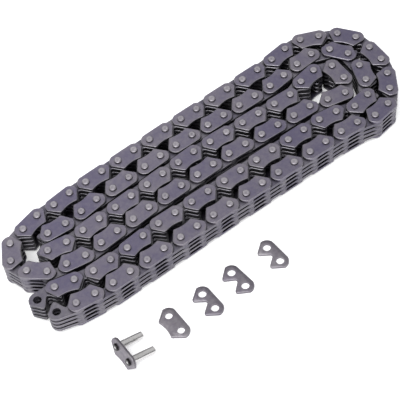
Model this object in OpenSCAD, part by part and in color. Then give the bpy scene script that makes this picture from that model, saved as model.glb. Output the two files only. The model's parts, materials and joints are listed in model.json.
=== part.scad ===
// Silent (inverted-tooth) drive chain, open and coiled flat, with its loose connecting link.
// The chain lies on the ends of its pins: the floor is z = 0, the rows run along X,
// and the origin is under the middle of everything. Toes point to the left of the way
// the chain runs, from its first end to its last.
// Link 0 is the first end. Even links are inner links, odd links are pin links.

/* [Chain] */
// Distance between neighbouring pins
pitch = 6.35; // [6.3:0.05:6.5]
// X of the hole at the chain's first end
first_hole_x = -67.4; // [-70:0.1:-60]
// Y of the hole at the chain's first end
first_hole_y = -5.5; // [-10:0.1:0]

/* [Plates] */
// Thickness of every plate
plate_t = 0.94; // [0.8:0.01:0.96]
// Clearance between neighbouring plates in the stack
plate_gap = 0.04; // [0.02:0.01:0.08]
// Radius of a guide plate's ends about its pins
end_r = 2.85; // [2.75:0.01:2.9]
// Radius of a toothed plate's ends about its pins
tooth_end_r = 2.76; // [2.73:0.01:2.85]
// Depth of a plate's straight back behind the pin line
back_d = 2.72; // [2.5:0.01:2.8]
// How far the toes reach from the pin line
toe_reach = 3.7; // [3.4:0.05:3.8]
// Corner radius of a toothed plate's toe
toe_r = 0.75; // [0.5:0.05:0.9]
// Radius at the bottom of the crotch between two toes
crotch_r = 0.65; // [0.4:0.05:0.8]
// Corner radius of a guide plate's toe
guide_toe_r = 0.55; // [0.3:0.05:0.8]
// Depth of the shallow hollow between a guide plate's toes
guide_hollow = 0.5; // [0.2:0.05:1]

/* [Pins] */
// Diameter of a pin where the toothed plates turn on it
pin_d = 2.5; // [2.3:0.05:2.6]
// Diameter of a pin's two ends, which are riveted in the guide plates
pin_end_d = 2.4; // [2.2:0.05:2.5]
// Length over which a pin's shank eases down to its thinner end
pin_taper = 0.6; // [0.1:0.1:0.9]
// How far a pin's end stands proud of its guide plate
pin_proud = 0.6; // [0.3:0.05:0.8]
// Clearance all round between a pin and a toothed plate
running_gap = 0.05; // [0.03:0.01:0.1]

/* [Connecting link] */
// X of the standing pin plate's outer face, midway between its pins
stand_x = -59.2; // [-65:0.1:-50]
// Y of the same point
stand_y = -27.4; // [-35:0.1:-25]
// X and Y of the middle of the loose guide plate
loose_guide = [-40.1, -27.0]; // [-60:0.1:60]
// X and Y of the middle of the first loose toothed plate
loose_tooth_1 = [-27.6, -27.3]; // [-60:0.1:60]
// X and Y of the middle of the second loose toothed plate
loose_tooth_2 = [-15.9, -26.9]; // [-60:0.1:60]
// X and Y of the middle of the third loose toothed plate
loose_tooth_3 = [-2.0, -26.6]; // [-60:0.1:60]

/* [Hidden] */
$fn = 48;
steel = [0.45, 0.43, 0.49];
tooth_steel = [0.40, 0.38, 0.43];
pin_steel = [0.65, 0.63, 0.65];

// How the chain lies: for each stretch, how many links it has and which way they head,
// in degrees from +X, counted on as the chain turns
ROUTE = [
    // front row, from the first end
    [1, -16], [1, -7], [1, -4], [7, 0.5], [7, -0.5], [1, -4],
    // outer bend, right
    [1, -13], [1, 9], [1, 44], [1, 56], [1, 68], [1, 87],
    [1, 95], [1, 125], [1, 150], [1, 155], [1, 178],
    // back row
    [1, 187], [1, 184], [6, 180.5], [6, 181.5], [1, 186], [1, 180], [1, 194], [1, 198],
    // left bend
    [1, 240], [1, 288], [1, 318], [1, 346], [1, 350],
    // fourth row
    [1, 366], [3, 364], [5, 361], [5, 357], [1, 346], [1, 347],
    // inner bend
    [1, 414], [1, 448], [1, 518], [1, 550], [1, 558],
    // third row
    [6, 537.5], [8, 543], [1, 530],
    // hairpin, the other way round
    [1, 417], [1, 356],
    // second row
    [1, 365], [1, 367], [5, 362], [6, 359.5], [1, 366], [1, 368], [1, 363],
    // middle bend
    [1, 338], [1, 304], [1, 266], [1, 249], [1, 235], [1, 189], [1, 160], [1, 172],
    // fifth row, to the last end
    [10, 179.5], [1, 186], [1, 185], [1, 182], [1, 180], [1, 169], [1, 166], [1, 179]
];
heading = [for (stretch = ROUTE) for (n = [1 : stretch[0]]) stretch[1]];
links = len(heading);

// Joint k is the pin or end hole before link k: a running sum of one pitch a link
step = [for (h = heading) pitch * [cos(h), sin(h)]];
joint = [for (k = 0, p = [first_hole_x, first_hole_y]; k <= links;
              p = k < links ? p + step[k] : p, k = k + 1) p];

// The stack, from the floor up: pin ends, lower guide plate, seven toothed plates, upper guide plate
layer_step = plate_t + plate_gap;
layers = 9;
lower_guide_z = pin_proud;
upper_guide_z = pin_proud + (layers - 1) * layer_step;
pin_len = 2 * pin_proud + (layers - 1) * layer_step + plate_t;
pin_link_layers = [2, 4, 6];
inner_link_layers = [1, 3, 5, 7];
tooth_hole_d = pin_d + 2 * running_gap;

// The standing pin plate leans until its pins' tips touch the floor with the toes
shank_len = pin_len - pin_proud - plate_t;
lean = atan((toe_reach - pin_end_d / 2) / shank_len);
stand_z = toe_reach * cos(lean) + plate_t * sin(lean);

// Links 0 to 6 and 128 to 130 are the two ends that are free to swing, each link by itself.
// Between them the stretches that stay put: the first link and the last link of each
FRONT_ROW = [7, 17];
OUTER_BEND = [18, 28];
BACK_ROW = [29, 46];
FOURTH_ROW = [47, 66];
THIRD_ROW = [67, 87];
SECOND_ROW = [88, 105];
FIFTH_ROW = [106, 127];

// Points on an arc about c, from angle a to angle b, in n steps
function arc(c, r, a, b, n) =
    [for (k = [0 : n]) c + r * [cos(a + (b - a) * k / n), sin(a + (b - a) * k / n)]];

// A half outline, from the back round one end, and the same half mirrored about the plate's middle
function both_halves(half) =
    concat(half, [for (k = [len(half) - 1 : -1 : 0]) [pitch - half[k][0], half[k][1]]]);

// The end is round about the pin, from the corner of the back to where the slanted flank starts
function plate_end(r) = arc([0, 0], r, 180 + asin(back_d / r), 174, 4);

// Toothed plate: two toes with a deep round crotch between them
function toothed_outline() = both_halves(concat(
    plate_end(tooth_end_r),
    arc([0.15, toe_reach - toe_r], toe_r, 144, 34, 2),
    arc([pitch / 2, 1.9 - crotch_r], crotch_r, 214, 250, 1)));

// Guide plate: two low toes with a shallow hollow between them
function guide_outline() = both_halves(concat(
    plate_end(end_r),
    arc([0.05, toe_reach - guide_toe_r], guide_toe_r, 144, 80, 2),
    [for (k = [1 : 2]) [pitch * k / 5, toe_reach - guide_hollow * sin(180 * k / 5)]]));

// A flat plate with its two pin holes, its first hole at the origin
module plate(outline, hole_d) {
    difference() {
        linear_extrude(plate_t) polygon(outline);
        for (x = [0, pitch])
            translate([x, 0, -1]) cylinder(d = hole_d, h = plate_t + 2);
    }
}

module toothed_plate() {
    color(tooth_steel) plate(toothed_outline(), tooth_hole_d);
}

module guide_plate() {
    color(steel) plate(guide_outline(), pin_end_d);
}

// A pin, standing on its end: the shank eases down to a slightly thinner end on both sides
module pin() {
    end_len = pin_proud + plate_t;
    shank_from = end_len + pin_taper;
    color(pin_steel)
        rotate_extrude()
            polygon([
                [0, 0],
                [pin_end_d / 2, 0],
                [pin_end_d / 2, end_len],
                [pin_d / 2, shank_from],
                [pin_d / 2, pin_len - shank_from],
                [pin_end_d / 2, pin_len - end_len],
                [pin_end_d / 2, pin_len],
                [0, pin_len]
            ]);
}

// Puts a link's plate where link k lies
module at_link(k) {
    translate([joint[k][0], joint[k][1], 0]) rotate([0, 0, heading[k]]) children();
}

// The four toothed plates of inner link k
module inner_link(k) {
    at_link(k)
        for (layer = inner_link_layers)
            translate([0, 0, pin_proud + layer * layer_step]) toothed_plate();
}

// The three toothed plates of pin link k
module pin_link_plates(k) {
    at_link(k)
        for (layer = pin_link_layers)
            translate([0, 0, pin_proud + layer * layer_step]) toothed_plate();
}

module guides_of_link(k) {
    at_link(k)
        for (z = [lower_guide_z, upper_guide_z])
            translate([0, 0, z]) guide_plate();
}

// The two pins that are riveted in pin link k
module pins_of_link(k) {
    for (n = [k, k + 1])
        translate([joint[n][0], joint[n][1], 0]) pin();
}

// Stretches of the chain that stay put: run = [first link, last link]
function pin_links(run) = [for (k = [run[0] : run[1]]) if (k % 2 == 1) k];
function inner_links(run) = [for (k = [run[0] : run[1]]) if (k % 2 == 0) k];

module run_guides(run, z) {
    for (k = pin_links(run))
        at_link(k) translate([0, 0, z]) guide_plate();
}

module run_pins(run) {
    for (k = pin_links(run)) pins_of_link(k);
}

module run_pin_link_plates(run) {
    for (k = pin_links(run)) pin_link_plates(k);
}

module run_inner_link_plates(run) {
    for (k = inner_links(run)) inner_link(k);
}

// The connecting link's pin plate stands on its toes and leans on its pins' tips:
// x runs along the pins, y along the plate, with the toes down
module standing() {
    translate([stand_x, stand_y, stand_z]) rotate([0, 90 + lean, 0]) rotate([0, 0, 90])
        translate([-pitch / 2, 0, 0]) children();
}

module connecting_pin_plate() {
    standing() mirror([0, 1, 0]) guide_plate();
}

module connecting_pin(x) {
    standing() translate([x, 0, -pin_proud]) pin();
}

// A loose plate flat on the floor, its middle at a place, its toes to the left
module on_floor(place, turn) {
    translate([place[0], place[1], 0]) rotate([0, 0, turn]) translate([-pitch / 2, 0, 0]) children();
}

module loose_guide_plate() {
    on_floor(loose_guide, 90) guide_plate();
}

module loose_toothed_plate(place, turn) {
    on_floor(place, turn) toothed_plate();
}

run_guides(FRONT_ROW, upper_guide_z);  // front_row_upper_guides
run_guides(FRONT_ROW, lower_guide_z);  // front_row_lower_guides
run_pins(FRONT_ROW);  // front_row_pins
run_pin_link_plates(FRONT_ROW);  // front_row_pin_link_plates
run_inner_link_plates(FRONT_ROW);  // front_row_inner_link_plates
run_guides(OUTER_BEND, upper_guide_z);  // outer_bend_upper_guides
run_guides(OUTER_BEND, lower_guide_z);  // outer_bend_lower_guides
run_pins(OUTER_BEND);  // outer_bend_pins
run_pin_link_plates(OUTER_BEND);  // outer_bend_pin_link_plates
run_inner_link_plates(OUTER_BEND);  // outer_bend_inner_link_plates
run_guides(BACK_ROW, upper_guide_z);  // back_row_upper_guides
run_guides(BACK_ROW, lower_guide_z);  // back_row_lower_guides
run_pins(BACK_ROW);  // back_row_pins
run_pin_link_plates(BACK_ROW);  // back_row_pin_link_plates
run_inner_link_plates(BACK_ROW);  // back_row_inner_link_plates
run_guides(FOURTH_ROW, upper_guide_z);  // fourth_row_upper_guides
run_guides(FOURTH_ROW, lower_guide_z);  // fourth_row_lower_guides
run_pins(FOURTH_ROW);  // fourth_row_pins
run_pin_link_plates(FOURTH_ROW);  // fourth_row_pin_link_plates
run_inner_link_plates(FOURTH_ROW);  // fourth_row_inner_link_plates
run_guides(THIRD_ROW, upper_guide_z);  // third_row_upper_guides
run_guides(THIRD_ROW, lower_guide_z);  // third_row_lower_guides
run_pins(THIRD_ROW);  // third_row_pins
run_pin_link_plates(THIRD_ROW);  // third_row_pin_link_plates
run_inner_link_plates(THIRD_ROW);  // third_row_inner_link_plates
run_guides(SECOND_ROW, upper_guide_z);  // second_row_upper_guides
run_guides(SECOND_ROW, lower_guide_z);  // second_row_lower_guides
run_pins(SECOND_ROW);  // second_row_pins
run_pin_link_plates(SECOND_ROW);  // second_row_pin_link_plates
run_inner_link_plates(SECOND_ROW);  // second_row_inner_link_plates
run_guides(FIFTH_ROW, upper_guide_z);  // fifth_row_upper_guides
run_guides(FIFTH_ROW, lower_guide_z);  // fifth_row_lower_guides
run_pins(FIFTH_ROW);  // fifth_row_pins
run_pin_link_plates(FIFTH_ROW);  // fifth_row_pin_link_plates
run_inner_link_plates(FIFTH_ROW);  // fifth_row_inner_link_plates
inner_link(0);  // first_end_link_0_plates
inner_link(2);  // first_end_link_2_plates
inner_link(4);  // first_end_link_4_plates
inner_link(6);  // first_end_link_6_plates
guides_of_link(1);  // first_end_link_1_guides
pin_link_plates(1);  // first_end_link_1_plates
pins_of_link(1);  // first_end_link_1_pins
guides_of_link(3);  // first_end_link_3_guides
pin_link_plates(3);  // first_end_link_3_plates
pins_of_link(3);  // first_end_link_3_pins
guides_of_link(5);  // first_end_link_5_guides
pin_link_plates(5);  // first_end_link_5_plates
pins_of_link(5);  // first_end_link_5_pins
inner_link(128);  // last_end_link_128_plates
inner_link(130);  // last_end_link_130_plates
guides_of_link(129);  // last_end_link_129_guides
pin_link_plates(129);  // last_end_link_129_plates
pins_of_link(129);  // last_end_link_129_pins
connecting_pin_plate();
connecting_pin(0);  // connecting_pin_left
connecting_pin(pitch);  // connecting_pin_right
loose_guide_plate();
loose_toothed_plate(loose_tooth_1, 91);  // loose_toothed_plate_1
loose_toothed_plate(loose_tooth_2, 95);  // loose_toothed_plate_2
loose_toothed_plate(loose_tooth_3, 92);  // loose_toothed_plate_3
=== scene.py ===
"""A silent (inverted-tooth) drive chain, open and coiled flat on the floor, with its riveted
connecting link lying in front of it in five loose parts. All lengths are in metres."""

import json
import math

import bpy
import numpy as np
from mathutils import Matrix, Vector


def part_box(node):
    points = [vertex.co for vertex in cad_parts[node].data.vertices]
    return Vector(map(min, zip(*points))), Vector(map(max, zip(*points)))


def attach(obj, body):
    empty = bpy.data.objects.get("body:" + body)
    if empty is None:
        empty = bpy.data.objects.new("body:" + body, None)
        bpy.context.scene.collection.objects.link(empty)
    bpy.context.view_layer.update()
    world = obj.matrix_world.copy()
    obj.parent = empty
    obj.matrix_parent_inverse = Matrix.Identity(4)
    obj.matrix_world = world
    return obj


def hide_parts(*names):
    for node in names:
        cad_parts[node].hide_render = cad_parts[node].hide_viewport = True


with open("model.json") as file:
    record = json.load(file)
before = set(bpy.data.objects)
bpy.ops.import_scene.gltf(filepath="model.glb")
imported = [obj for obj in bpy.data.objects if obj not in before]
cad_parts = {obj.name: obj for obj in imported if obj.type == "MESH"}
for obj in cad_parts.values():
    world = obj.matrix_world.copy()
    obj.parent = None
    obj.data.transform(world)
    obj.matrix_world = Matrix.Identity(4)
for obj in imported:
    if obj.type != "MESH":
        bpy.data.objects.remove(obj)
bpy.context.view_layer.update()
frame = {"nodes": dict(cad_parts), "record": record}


# ---- Camera ----------------------------------------------------------------------------------
# A long lens looks down on the coil from the side of its two open ends, tipped a little, so
# that the rows run up to the right.

coil_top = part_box("front_row_pins")[1].z
azimuth, elevation, tip = (math.radians(angle) for angle in (-30.05, 55.25, -7.86))
looked_at = Vector((-0.0107, -0.0013, coil_top))
camera_distance = 0.4274
camera_right = Vector((math.cos(azimuth), math.sin(azimuth), 0))
camera_back = Vector((
    math.sin(azimuth) * math.cos(elevation),
    -math.cos(azimuth) * math.cos(elevation),
    math.sin(elevation),
))
camera_up = camera_back.cross(camera_right)
camera = bpy.data.objects.new("camera", bpy.data.cameras.new("camera"))
camera.data.lens = 123.75
camera.data.clip_start = 0.01
turned = Matrix((camera_right, camera_up, camera_back)).transposed() @ Matrix.Rotation(tip, 3, "Z")
camera.matrix_world = Matrix.Translation(looked_at + camera_back * camera_distance) @ turned.to_4x4()
bpy.context.scene.collection.objects.link(camera)
bpy.context.scene.camera = camera


# ---- Floor and light -------------------------------------------------------------------------
# A seamless pale table under a wide overhead softbox, with a weaker one behind the coil. The
# room itself is pale overhead and dark towards its walls.

floor_half = 4
floor_mesh = bpy.data.meshes.new("floor")
corners = np.array([(-1, -1, 0), (1, -1, 0), (1, 1, 0), (-1, 1, 0)]) * floor_half
floor_mesh.from_pydata(corners.tolist(), [], [(0, 1, 2, 3)])
floor = bpy.data.objects.new("floor", floor_mesh)
bpy.context.scene.collection.objects.link(floor)
floor_paint = bpy.data.materials.new("floor_paint")
floor_paint.use_nodes = True
paint = floor_paint.node_tree.nodes["Principled BSDF"].inputs
paint["Base Color"].default_value = (0.93, 0.93, 0.94, 1)
paint["Roughness"].default_value = 0.85
paint["Emission Color"].default_value = (1, 1, 1, 1)
paint["Emission Strength"].default_value = 0.3
floor_mesh.materials.append(floor_paint)


def softbox(name, place, aim, size, power):
    """A square lamp at a place, turned to face the point that it aims at."""
    lamp = bpy.data.lights.new(name, "AREA")
    lamp.size = size
    lamp.energy = power
    box = bpy.data.objects.new(name, lamp)
    box.matrix_world = (
        Matrix.Translation(place)
        @ (Vector(place) - Vector(aim)).to_track_quat("Z", "Y").to_matrix().to_4x4()
    )
    bpy.context.scene.collection.objects.link(box)


softbox("overhead_softbox", (-0.35, -0.25, 0.85), (0, 0, 0), 0.8, 7.0)
softbox("back_softbox", (0.2, 0.8, 0.5), (0, 0, 0), 0.4, 1.2)

world = bpy.data.worlds.new("room")
world.use_nodes = True
air = world.node_tree
seen, height, ceiling = (
    air.nodes.new("ShaderNode" + kind) for kind in ("TexCoord", "SeparateXYZ", "MapRange")
)
ceiling.interpolation_type = "SMOOTHSTEP"
for socket, value in (("From Min", 0.1), ("From Max", 0.6), ("To Min", 0.12), ("To Max", 0.8)):
    ceiling.inputs[socket].default_value = value
air.links.new(seen.outputs["Generated"], height.inputs[0])
air.links.new(height.outputs["Z"], ceiling.inputs["Value"])
air.links.new(ceiling.outputs["Result"], air.nodes["Background"].inputs["Strength"])
air.nodes["Background"].inputs["Color"].default_value = (1, 1, 1, 1)
bpy.context.scene.world = world
bpy.context.scene.view_settings.view_transform = "Standard"


# ---- Pins ------------------------------------------------------------------------------------
# Ground steel pins run through the whole stack of plates. Both ends stand proud of the guide
# plates and are riveted over: a flat punched middle, a sloping ring and a rounded rim.

bodies = frame["record"]["behaviour"]["bodies"]
body_of = {node: body for body, nodes in bodies.items() for node in nodes}
slot_of = {part["node"]: part["material_slot"] for part in frame["record"]["subparts"]}
mount = {m["name"]: m for m in frame["record"]["mounts"]}
pitch = mount["loose_guide_plate_holes"]["dims"]["pcd_mm"] / 1000
pin_radius = mount["connecting_pin_left"]["dims"]["r_mm"] / 1000
pin_height = coil_top


def node_points(node):
    """All vertices of a CAD node's mesh, as an array of x, y, z."""
    mesh = frame["nodes"][node].data
    points = np.empty(len(mesh.vertices) * 3)
    mesh.vertices.foreach_get("co", points)
    return points.reshape(-1, 3)


def pin_centres(node):
    """Where a node's pins stand. A point of a top edge and all that lie within about a pin's
    diameter of it belong to one pin, whose centre is the middle of their box."""
    points = node_points(node)
    top = np.unique(np.round(points[points[:, 2] > pin_height - 1e-5, :2], 8), axis=0)
    centres = []
    while len(top):
        near = np.linalg.norm(top - top[0], axis=1) < 2.2 * pin_radius
        centres.append((top[near].min(0) + top[near].max(0)) / 2)
        top = top[~near]
    return np.array(centres)


def walk_chain(centres):
    """The chain's joints in order. From the first end's bore, the next joint is always the pin
    that stands most nearly one pitch away, and the last joint is the other end's bore."""
    joints = [np.array(mount["first_end_bore"]["pos_m"][:2])]
    left = centres
    while len(left):
        off = np.abs(np.linalg.norm(left - joints[-1], axis=1) - pitch)
        joints.append(left[off.argmin()])
        left = np.delete(left, off.argmin(), axis=0)
    joints.append(np.array(mount["last_end_bore"]["pos_m"][:2]))
    return np.array(joints)


pin_nodes = [node for node in sorted(frame["nodes"]) if node.endswith("_pins")]
centres_in = {node: pin_centres(node) for node in pin_nodes}
joints = walk_chain(np.vstack([centres_in[node] for node in pin_nodes]))
along = np.diff(joints, axis=0) / pitch


def pin_form(sides, profile, marks):
    """A turned form: the profile's (radius, height) points swept round the pin's axis, closed by
    a flat face at each end. Returns vertices, faces, and each face's mark, given from the lower
    end's flat face, by way of the bands between the profile's points, to the upper one."""
    angle = 2 * np.pi * np.arange(sides) / sides
    radius, height = np.array(profile).T
    vertices = np.stack([
        np.outer(radius, np.cos(angle)),
        np.outer(radius, np.sin(angle)),
        np.repeat(height[:, None], sides, 1),
    ], axis=2).reshape(-1, 3)
    ring, side = np.divmod(np.arange((len(profile) - 1) * sides), sides)
    low, following = ring * sides, (side + 1) % sides
    quads = np.stack([low + side, low + following, low + sides + following, low + sides + side], 1)
    faces = [tuple(range(sides))[::-1], *map(tuple, quads.tolist())]
    faces.append(tuple(range(len(vertices) - sides, len(vertices))))
    marked = np.concatenate([marks[:1], np.repeat(marks[1:-1], sides), marks[-1:]])
    return vertices, faces, marked


def spread(form, origins, bases):
    """Copies of a form, one at each origin, with each basis giving the form's own x, y and z."""
    vertices, faces, mark = form
    placed = origins[:, None, :] + vertices @ bases
    shift = len(vertices) * np.arange(len(origins))
    all_faces = [tuple(s + i for i in face) for s in shift.tolist() for face in faces]
    return placed.reshape(-1, 3), all_faces, np.tile(mark, len(origins))


def make_piece(node, form, origins, bases, marked, material):
    """One piece that stands for a CAD node: copies of a form. A map called plan holds each
    point's own x and y in pitches. Each copy has a shade of its own, from 0 to 1: the last
    digits of a large multiple of the sine of its place."""
    placed, faces, mark = spread(form, origins, bases)
    mesh = bpy.data.meshes.new(node + "_finished")
    mesh.from_pydata(placed.tolist(), [], faces)
    corner = np.empty(len(mesh.loops), np.int32)
    mesh.loops.foreach_get("vertex_index", corner)
    own = np.tile(form[0][:, :2] / pitch, (len(origins), 1))
    mesh.uv_layers.new(name="plan").data.foreach_set("uv", own[corner].ravel())
    mesh.attributes.new(marked, "FLOAT", "FACE").data.foreach_set("value", mark)
    shade = np.modf(np.sin(origins @ (811.7, 1277.3, 3571.9)) * 43758.5)[0] % 1
    each_face = np.repeat(shade, len(form[1]))
    mesh.attributes.new("shade", "FLOAT", "FACE").data.foreach_set("value", each_face)
    flat = np.array([len(face) > 4 for face in faces])
    mesh.polygons.foreach_set("use_smooth", ~flat)
    mesh.set_sharp_from_angle(angle=math.radians(40))
    mesh.materials.append(material)
    piece = bpy.data.objects.new(node + "_finished", mesh)
    bpy.context.scene.collection.objects.link(piece)
    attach(piece, body_of[node])
    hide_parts(node)
    return piece


def add_nodes(tree, *kinds):
    """New shader nodes of the given kinds."""
    return [tree.nodes.new("ShaderNode" + kind) for kind in kinds]


def steel_group():
    """Tumbled steel: two greys mixed by a broad and a fine mottle, a fine tumbled grain in the
    normal, and painted shade that darkens the colour where its mask is high."""
    broad_share, fine_share = 0.9, 1.3
    smoothest, roughest = 0.33, 0.52
    bare_edge, painted_shade_colour = (0.40, 0.39, 0.41, 1), (0.012, 0.011, 0.013, 1)
    grain_depth = 0.00004
    tree = bpy.data.node_groups.new("tumbled_steel", "ShaderNodeTree")
    for name, kind in (("Light", "Color"), ("Dark", "Color"), ("Shade", "Float"), ("Bright", "Float"),
                       ("PaintedShade", "Float"), ("Grain", "Float")):
        tree.interface.new_socket(name, in_out="INPUT", socket_type="NodeSocket" + kind)
    for name, kind in (("Colour", "Color"), ("Roughness", "Float"), ("Normal", "Vector")):
        tree.interface.new_socket(name, in_out="OUTPUT", socket_type="NodeSocket" + kind)
    given, out = tree.nodes.new("NodeGroupInput"), tree.nodes.new("NodeGroupOutput")
    place, bump = add_nodes(tree, "TexCoord", "Bump")
    broad, fine, grain = add_nodes(tree, "TexNoise", "TexNoise", "TexNoise")
    for noise, scale, detail in ((broad, 130, 2), (fine, 900, 4), (grain, 5200, 3)):
        noise.inputs["Scale"].default_value = scale
        noise.inputs["Detail"].default_value = detail
        tree.links.new(place.outputs["Object"], noise.inputs["Vector"])
    blotch, tone = add_nodes(tree, "Math", "Math")
    blotch.operation = "MULTIPLY_ADD"
    tree.links.new(broad.outputs["Fac"], blotch.inputs[0])
    blotch.inputs[1].default_value = broad_share
    tree.links.new(given.outputs["Shade"], blotch.inputs[2])
    tone.operation = "MULTIPLY_ADD"
    tone.use_clamp = True
    tree.links.new(fine.outputs["Fac"], tone.inputs[0])
    tone.inputs[1].default_value = fine_share
    tree.links.new(blotch.outputs[0], tone.inputs[2])
    mixed, lit, painted_dark = add_nodes(tree, "Mix", "Mix", "Mix")
    for mix in (mixed, lit, painted_dark):
        mix.data_type = "RGBA"
    tree.links.new(tone.outputs[0], mixed.inputs["Factor"])
    tree.links.new(given.outputs["Light"], mixed.inputs["A"])
    tree.links.new(given.outputs["Dark"], mixed.inputs["B"])
    tree.links.new(given.outputs["Bright"], lit.inputs["Factor"])
    tree.links.new(mixed.outputs["Result"], lit.inputs["A"])
    lit.inputs["B"].default_value = bare_edge
    # Painted shade: the colour goes towards near black where the shade mask is high.
    tree.links.new(given.outputs["PaintedShade"], painted_dark.inputs["Factor"])
    tree.links.new(lit.outputs["Result"], painted_dark.inputs["A"])
    painted_dark.inputs["B"].default_value = painted_shade_colour
    tree.links.new(painted_dark.outputs["Result"], out.inputs["Colour"])
    gloss = add_nodes(tree, "MapRange")[0]
    gloss.inputs["To Min"].default_value = smoothest
    gloss.inputs["To Max"].default_value = roughest
    tree.links.new(fine.outputs["Fac"], gloss.inputs["Value"])
    tree.links.new(gloss.outputs["Result"], out.inputs["Roughness"])
    tree.links.new(grain.outputs["Fac"], bump.inputs["Height"])
    tree.links.new(given.outputs["Grain"], bump.inputs["Strength"])
    bump.inputs["Distance"].default_value = grain_depth
    tree.links.new(bump.outputs["Normal"], out.inputs["Normal"])
    return tree


tumbled = steel_group()


def masked(tree, value, low, high):
    """A mask that rises smoothly from 0 at low to 1 at high."""
    ramp = add_nodes(tree, "MapRange")[0]
    ramp.interpolation_type = "SMOOTHSTEP"
    ramp.inputs["From Min"].default_value = low
    ramp.inputs["From Max"].default_value = high
    tree.links.new(value, ramp.inputs["Value"])
    return ramp.outputs["Result"]


def times(tree, value, factor, more=0.0):
    """value * factor + more, where factor is a number or another value."""
    product = add_nodes(tree, "Math")[0]
    product.operation = "MULTIPLY_ADD"
    tree.links.new(value, product.inputs[0])
    if isinstance(factor, (int, float)):
        product.inputs[1].default_value = factor
    else:
        tree.links.new(factor, product.inputs[1])
    product.inputs[2].default_value = more
    return product.outputs[0]


def read(tree, name):
    """A number that the mesh carries for each face."""
    attribute = add_nodes(tree, "Attribute")[0]
    attribute.attribute_name = name
    return attribute.outputs["Fac"]


def crevice_shade(tree):
    """Painted shade where nearby parts shut out the light: 0 on an open face, towards 1 deep between
    parts.
    """
    reach = 0.003
    shelter, depth = add_nodes(tree, "AmbientOcclusion", "MapRange")
    shelter.samples = 8
    shelter.inputs["Distance"].default_value = reach
    depth.interpolation_type = "SMOOTHSTEP"
    for socket, value in (("From Min", 0.72), ("From Max", 0.28), ("To Max", 0.96)):
        depth.inputs[socket].default_value = value
    tree.links.new(shelter.outputs["AO"], depth.inputs["Value"])
    return depth.outputs["Result"]


def either(tree, first, second):
    """The larger of two masks."""
    larger = add_nodes(tree, "Math")[0]
    larger.operation = "MAXIMUM"
    tree.links.new(first, larger.inputs[0])
    tree.links.new(second, larger.inputs[1])
    return larger.outputs[0]


def plan_distance(tree, x):
    """How far a point is from (x, 0) on the plan, in pitches."""
    plan, gap = add_nodes(tree, "UVMap", "VectorMath")
    plan.uv_map = "plan"
    gap.operation = "DISTANCE"
    tree.links.new(plan.outputs["UV"], gap.inputs[0])
    gap.inputs[1].default_value = (x, 0, 0)
    return gap.outputs["Value"]


def steel(name, light, dark, metallic, grain):
    """A steel finish from the tumbled group. Returns the material and its group node, whose
    Shade, Bright and painted-shade inputs are still free."""
    material = bpy.data.materials.new(name)
    material.use_nodes = True
    tree = material.node_tree
    shader = tree.nodes["Principled BSDF"]
    shader.inputs["Metallic"].default_value = metallic
    finish = tree.nodes.new("ShaderNodeGroup")
    finish.node_tree = tumbled
    finish.inputs["Light"].default_value = (*light, 1)
    finish.inputs["Dark"].default_value = (*dark, 1)
    finish.inputs["Grain"].default_value = grain
    tree.links.new(finish.outputs["Colour"], shader.inputs["Base Color"])
    tree.links.new(finish.outputs["Roughness"], shader.inputs["Roughness"])
    tree.links.new(finish.outputs["Normal"], shader.inputs["Normal"])
    return material, finish


pin_steel, finish = steel("riveted_pin_steel", (0.33, 0.31, 0.34), (0.21, 0.195, 0.225), 0.85, 0.6)
tree = pin_steel.node_tree
tree.links.new(times(tree, read(tree, "shade"), 0.5, -0.85), finish.inputs["Shade"])
# The rivet's sloping ring is rubbed bright. All but the peened ends is painted dark: painted shade and
# dark reflection on the pins' side walls, with painted crevice shade where parts meet.
from_axis = plan_distance(tree, 0)
ring = times(tree, masked(tree, from_axis, 0.05, 0.085), masked(tree, from_axis, 0.145, 0.115))
tree.links.new(times(tree, ring, 0.4), finish.inputs["Bright"])
shaded_sides = times(tree, read(tree, "peened"), -0.85, 0.85)
tree.links.new(either(tree, shaded_sides, crevice_shade(tree)), finish.inputs["PaintedShade"])

rim = 0.00016
drop = 0.00005
dip = 0.00009
ring_radius = 0.00085
punched_radius = 0.00042
pin_end = mount["loose_guide_plate_holes"]["dims"]["hole_r_mm"] / 1000
pin_profile = [
    (pin_end - rim, 0),
    (pin_end, rim),
    (pin_end, pin_height - drop - rim),
    (pin_end - rim, pin_height - drop),
    (ring_radius, pin_height),
    (punched_radius, pin_height - dip),
]
riveted_pin = pin_form(16, pin_profile, [1.0, 1.0, 0.0, 1.0, 1.0, 1.0, 1.0])
for node in pin_nodes:
    stands = np.column_stack([centres_in[node], np.zeros(len(centres_in[node]))])
    make_piece(node, riveted_pin, stands, np.tile(np.eye(3), (len(stands), 1, 1)), "peened", pin_steel)


# ---- Guide plates ----------------------------------------------------------------------------
# Flat plates of spring steel on both faces of every pin link, stamped with two low toes and a
# shallow hollow between them. The punch rounds the edge on their outer side.

guide_thickness = np.ptp(node_points("loose_guide_plate")[:, 2])
back_depth, toe_reach = 0.00272, 0.0037


def arc(centre, radius, start, stop, count):
    """Points on a circle about centre, from angle start to angle stop in degrees."""
    angle = np.radians(np.linspace(start, stop, count))
    return np.column_stack([centre[0] + radius * np.cos(angle), centre[1] + radius * np.sin(angle)])


def whole_outline(half):
    """Half an outline, from the back round the first hole's end, with its mirror image about the
    plate's middle, taken counter-clockwise."""
    other = half[::-1] * (-1, 1) + (pitch, 0)
    return np.vstack([half, other])[::-1]


def plate_end(radius, count):
    """The round end about the first hole, from the straight back to the slanted flank."""
    return arc((0, 0), radius, 180 + math.degrees(math.asin(back_depth / radius)), 174, count)


def guide_outline(fine):
    """Round ends, slanted flanks, rounded toe corners, and a hollow that is one wave of a sine."""
    end_radius, toe_radius, hollow = 0.00285, 0.00055, 0.0005
    x = pitch * np.arange(1, 2 * fine + 1) / (4 * fine + 1)
    dip = toe_reach - hollow * np.sin(np.pi * x / pitch)
    toe = arc((0.00005, toe_reach - toe_radius), toe_radius, 144, 80, 2 * fine + 1)
    return whole_outline(np.vstack([plate_end(end_radius, 4 * fine + 1), toe, np.column_stack((x, dip))]))


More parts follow.
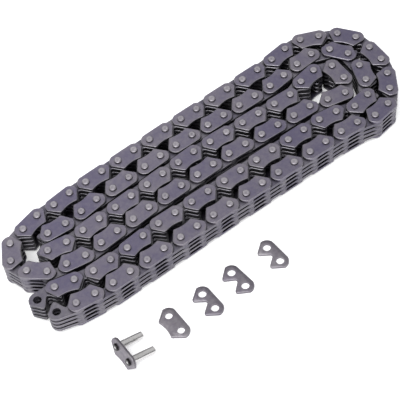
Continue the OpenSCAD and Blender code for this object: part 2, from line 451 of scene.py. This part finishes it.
def inset(outline, depth):
    """The outline moved inwards: each point goes along the bisector of its two edges."""
    edge = np.roll(outline, -1, 0) - outline
    edge /= np.linalg.norm(edge, axis=1)[:, None]
    before = np.roll(edge, 1, 0)
    inward = np.column_stack([-edge[:, 1] - before[:, 1], edge[:, 0] + before[:, 0]])
    inward /= 1 + (edge * before).sum(1)[:, None]
    return outline + depth * inward


def plate_form(outline, hole_radius, hole_sides, edges):
    """A stamped plate with two pin holes: the outline at each (inset, height) of edges, upwards,
    joined by walls, and two flat faces at the top and two at the bottom, parted along the line
    through both holes. Returns vertices, faces, and each face's mark: 1 on a worn edge, -1 on an
    upright wall and 0 elsewhere."""
    rings = [np.column_stack([inset(outline, depth), np.full(len(outline), z)]) for depth, z in edges]
    around = arc((0, 0), hole_radius / math.cos(math.pi / hole_sides), 0, 360, hole_sides + 1)[:-1]
    for x in (0, pitch):
        for z in (0, edges[-1][1]):
            rings.append(np.column_stack([around + (x, 0), np.full(hole_sides, z)]))
    start = np.cumsum([0] + [len(ring) for ring in rings])
    faces, worn = [], []
    for level in range(len(edges) - 1):
        n, low, high = len(outline), start[level], start[level + 1]
        faces += [(low + i, low + (i + 1) % n, high + (i + 1) % n, high + i) for i in range(n)]
        worn += [1.0 if edges[level][0] != edges[level + 1][0] else -1.0] * n
    for hole in (0, 1):
        low, high = start[len(edges) + 2 * hole], start[len(edges) + 2 * hole + 1]
        n = hole_sides
        faces += [(low + (i + 1) % n, low + i, high + i, high + (i + 1) % n) for i in range(n)]
        worn += [0.0] * n
    at_right = np.argmin(np.abs(outline[:, 1]) + (outline[:, 0] < pitch / 2))
    at_left = np.argmin(np.abs(outline[:, 1]) + (outline[:, 0] > pitch / 2))
    turn = np.arange(len(outline))
    toes = np.roll(turn, -at_right)[: (at_left - at_right) % len(outline) + 1]
    back = np.roll(turn, -at_left)[: (at_right - at_left) % len(outline) + 1]
    over = np.arange(hole_sides // 2, -1, -1)
    under = np.arange(hole_sides, hole_sides // 2 - 1, -1) % hole_sides
    for rim_ring, side, flip in ((0, 0, -1), (len(edges) - 1, 1, 1)):
        first, second = start[len(edges) + side], start[len(edges) + 2 + side]
        upper = np.concatenate([first + over, second + over, start[rim_ring] + toes])
        lower = np.concatenate([second + under, first + under, start[rim_ring] + back])
        faces += [tuple(upper[::flip].tolist()), tuple(lower[::flip].tolist())]
        worn += [0.0, 0.0]
    faces = [tuple(int(i) for i in face) for face in faces]
    return np.vstack(rings), faces, np.array(worn)


def links_in(node, inner, hole_radius):
    """The links whose plates are in a node: both of the link's joints have the points of a hole's
    wall round them. Inner links have even numbers, pin links have odd ones."""
    points = np.unique(np.round(node_points(node)[:, :2], 8), axis=0)
    reach = np.linalg.norm(points[None] - joints[:, None], axis=2)
    holed = (np.abs(reach - hole_radius) < 3e-6).sum(1) > 8
    found = np.flatnonzero(holed[:-1] & holed[1:])
    return found[found % 2 == (0 if inner else 1)]


def layers_in(node):
    """The heights of the undersides of a node's plates."""
    return np.unique(np.round(node_points(node)[:, 2], 7))[::2]


def lay_plates(node, inner, hole_radius):
    """Where each of a node's plates lies: one origin and one basis for each link and layer."""
    links, heights = links_in(node, inner, hole_radius), layers_in(node)
    link, height = np.repeat(links, len(heights)), np.tile(heights, len(links))
    origins = np.column_stack([joints[link], height])
    x, zero, one = along[link], np.zeros(len(link)), np.ones(len(link))
    bases = np.stack([
        np.column_stack([x, zero]),
        np.column_stack([-x[:, 1], x[:, 0], zero]),
        np.column_stack([zero, zero, one]),
    ], axis=1)
    return origins, bases


guide_hole = mount["loose_guide_plate_holes"]["dims"]["hole_r_mm"] / 1000
edge_round = 0.00017
low_round, high_round = edge_round, guide_thickness - edge_round
round_above = [(0, 0), (0, high_round), (edge_round, guide_thickness)]
round_below = [(edge_round, 0), (0, low_round), (0, guide_thickness)]
round_both = [(edge_round, 0), (0, low_round), (0, high_round), (edge_round, guide_thickness)]
upper_guide = plate_form(guide_outline(1), guide_hole, 12, round_above)
lower_guide = plate_form(guide_outline(1), guide_hole, 12, round_below)
end_link_guide = plate_form(guide_outline(1), guide_hole, 12, round_both)

def plus(tree, first, second):
    """The sum of two values."""
    total = add_nodes(tree, "Math")[0]
    tree.links.new(first, total.inputs[0])
    tree.links.new(second, total.inputs[1])
    return total.outputs[0]


def shaded_toe_walls(tree):
    """Where a plate's stamped wall is on the toes' side, which is painted dark: painted shade for the
    slots between the plates.
    """
    plan, split = add_nodes(tree, "UVMap", "SeparateXYZ")
    plan.uv_map = "plan"
    tree.links.new(plan.outputs["UV"], split.inputs[0])
    return times(tree, masked(tree, split.outputs["Y"], 0.02, 0.25), times(tree, read(tree, "worn"), -1.0))


guide_steel, finish = steel("guide_plate_steel", (0.200, 0.184, 0.218), (0.128, 0.116, 0.178), 0.9, 0.9)
tree = guide_steel.node_tree
# Each plate has a shade of its own, and its middle is darker than its ends.
waist = times(tree, masked(tree, plan_distance(tree, 0.5), 0.8, 0.25), 0.4, -1.1)
tree.links.new(plus(tree, times(tree, read(tree, "shade"), 0.6), waist), finish.inputs["Shade"])
tree.links.new(times(tree, read(tree, "worn"), 0.45), finish.inputs["Bright"])
# The toe walls and the crevices are painted dark: painted shade for the slots between the plates.
tree.links.new(either(tree, times(tree, shaded_toe_walls(tree), 0.6), crevice_shade(tree)), finish.inputs["PaintedShade"])

for node in sorted(frame["nodes"]):
    if node.endswith("_guides"):
        origins, bases = lay_plates(node, False, guide_hole)
        if np.ptp(origins[:, 2]) > 0:
            form = end_link_guide
        elif origins[0, 2] > coil_top / 2:
            form = upper_guide
        else:
            form = lower_guide
        make_piece(node, form, origins, bases, "worn", guide_steel)


# ---- Toothed plates --------------------------------------------------------------------------
# Hardened steel plates, punched with two pointed toes and a deep round crotch between them. Four
# lie on every inner link and three on every pin link. They interleave and turn on the pins.

tooth_hole = mount["first_end_bore"]["dims"]["r_mm"] / 1000


def toothed_outline(fine):
    """Round ends, slanted flanks, round toes, and a crotch whose bottom is an arc."""
    end_radius, toe_radius, crotch_radius, crotch_top = 0.00276, 0.00075, 0.00065, 0.0019
    toe = arc((0.00015, toe_reach - toe_radius), toe_radius, 144, 34, 2 * fine + 1)
    crotch = arc((pitch / 2, crotch_top - crotch_radius), crotch_radius, 214, 250, fine + 1)
    return whole_outline(np.vstack([plate_end(end_radius, 4 * fine + 1), toe, crotch]))


def on_inner_links(node):
    """Whether a node's plates are those of inner links, which have even numbers."""
    number = node.split("_")[-2]
    return node.endswith("inner_link_plates") or (number.isdigit() and int(number) % 2 == 0)


inner_toothed = plate_form(toothed_outline(1), tooth_hole, 12, round_above)
outer_toothed = plate_form(toothed_outline(1), tooth_hole, 12, round_below)

tooth_steel, finish = steel("toothed_plate_steel", (0.205, 0.194, 0.218), (0.110, 0.102, 0.138), 0.9, 0.9)
tree = tooth_steel.node_tree
# Each plate has a shade of its own and worn punched edges. Its toe walls and crevices are painted dark:
# painted shade for the slots between the plates.
tree.links.new(times(tree, read(tree, "shade"), 0.7, -0.9), finish.inputs["Shade"])
tree.links.new(times(tree, read(tree, "worn"), 0.4), finish.inputs["Bright"])
tree.links.new(either(tree, times(tree, shaded_toe_walls(tree), 0.85), crevice_shade(tree)), finish.inputs["PaintedShade"])

for node in sorted(frame["nodes"]):
    if slot_of[node] == "tooth_steel":
        inner = on_inner_links(node)
        origins, bases = lay_plates(node, inner, tooth_hole)
        form = inner_toothed if inner else outer_toothed
        make_piece(node, form, origins, bases, "worn", tooth_steel)


# ---- Loose plates ----------------------------------------------------------------------------
# The connecting link's second guide plate and its three toothed plates lie flat in front of the
# coil. They are the same steel stampings as the chain's, clean, and nothing holds them yet.

loose_steel, finish = steel("loose_plate_steel", (0.260, 0.247, 0.262), (0.155, 0.138, 0.172), 0.9, 0.9)
tree = loose_steel.node_tree
# Each plate has a shade of its own and worn edges, but no painted shade.
tree.links.new(times(tree, read(tree, "shade"), 0.7, -0.95), finish.inputs["Shade"])
tree.links.new(times(tree, read(tree, "worn"), 0.4), finish.inputs["Bright"])

small_round = 0.00007
fine_edges = [
    (edge_round, 0),
    (0, low_round),
    (0, high_round),
    (small_round, guide_thickness - small_round),
    (edge_round, guide_thickness),
]
fine_guide = plate_form(guide_outline(4), guide_hole, 48, fine_edges)
fine_toothed = plate_form(toothed_outline(4), tooth_hole, 48, fine_edges)


def basis_of_loose(node):
    """A loose plate's own x, y and z: x is the direction in which its points spread most, and y
    is square to it, towards the toes, which reach further from the line of the holes."""
    middle = np.array(mount[node + "_holes"]["pos_m"][:2])
    points = node_points(node)[:, :2] - middle
    x = np.linalg.svd(points, full_matrices=False)[2][0]
    y = np.array([-x[1], x[0]])
    reach = points @ y
    if reach.max() < -reach.min():
        x, y = -x, -y
    return np.array([[*x, 0], [*y, 0], [0, 0, 1]]), middle


loose_nodes = ["loose_guide_plate"] + ["loose_toothed_plate_" + number for number in "123"]
for node in loose_nodes:
    basis, middle = basis_of_loose(node)
    origin = np.array([*middle, 0]) - basis[0] * pitch / 2
    form = fine_guide if node == "loose_guide_plate" else fine_toothed
    make_piece(node, form, origin[None], basis[None], "worn", loose_steel)


# ---- Connecting link's pin plate -------------------------------------------------------------
# A guide plate with its two pins already riveted in. It stands on its toes and on the tips of
# the pins, which are still plain, with a bevel to help them through the plates.

held_pins = {side: mount["connecting_pin_" + side] for side in ("left", "right")}
centre_of = {side: np.array(held["pos_m"]) for side, held in held_pins.items()}
pin_axis = np.array(held_pins["left"]["axis"])
toe_way = np.cross(pin_axis, centre_of["right"] - centre_of["left"]) / pitch
toe_way = -toe_way if toe_way[2] > 0 else toe_way
stand = np.array([np.cross(toe_way, pin_axis), toe_way, pin_axis])
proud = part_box("front_row_lower_guides")[0].z
foot_of = {side: centre - pin_axis * pin_height / 2 for side, centre in centre_of.items()}
first_foot = min(foot_of.values(), key=lambda foot: foot @ stand[0])
make_piece("connecting_pin_plate", fine_guide, (first_foot + pin_axis * proud)[None], stand[None],
           "worn", loose_steel)

bright_steel, finish = steel("loose_pin_steel", (0.66, 0.65, 0.65), (0.5, 0.49, 0.49), 1.0, 0.25)
tree = bright_steel.node_tree
tree.links.new(times(tree, read(tree, "shade"), 0.3, -0.75), finish.inputs["Shade"])
# The ground pins are smoother than the plates. Their riveted heads are painted dark but for the middle: a
# painted dark reflection.
shader = tree.nodes["Principled BSDF"]
tree.links.new(times(tree, finish.outputs["Roughness"], 0.55), shader.inputs["Roughness"])
dark_reflection_collar = times(tree, masked(tree, plan_distance(tree, 0), 0.03, 0.08), read(tree, "peened"))
tree.links.new(times(tree, dark_reflection_collar, 0.93), finish.inputs["PaintedShade"])
bevel = 0.0003
loose_profile = [
    (punched_radius, dip),
    (ring_radius, 0),
    (pin_end - rim, drop),
    (pin_end, drop + rim),
    (pin_end, proud),
    (pin_end, pin_height - bevel),
    (pin_end - bevel, pin_height),
]
loose_pin = pin_form(48, loose_profile, [1.0, 1.0, 1.0, 1.0, 1.0, 0.0, 0.0, 0.0])
for side, foot in foot_of.items():
    make_piece("connecting_pin_" + side, loose_pin, foot[None], stand[None], "peened", bright_steel)
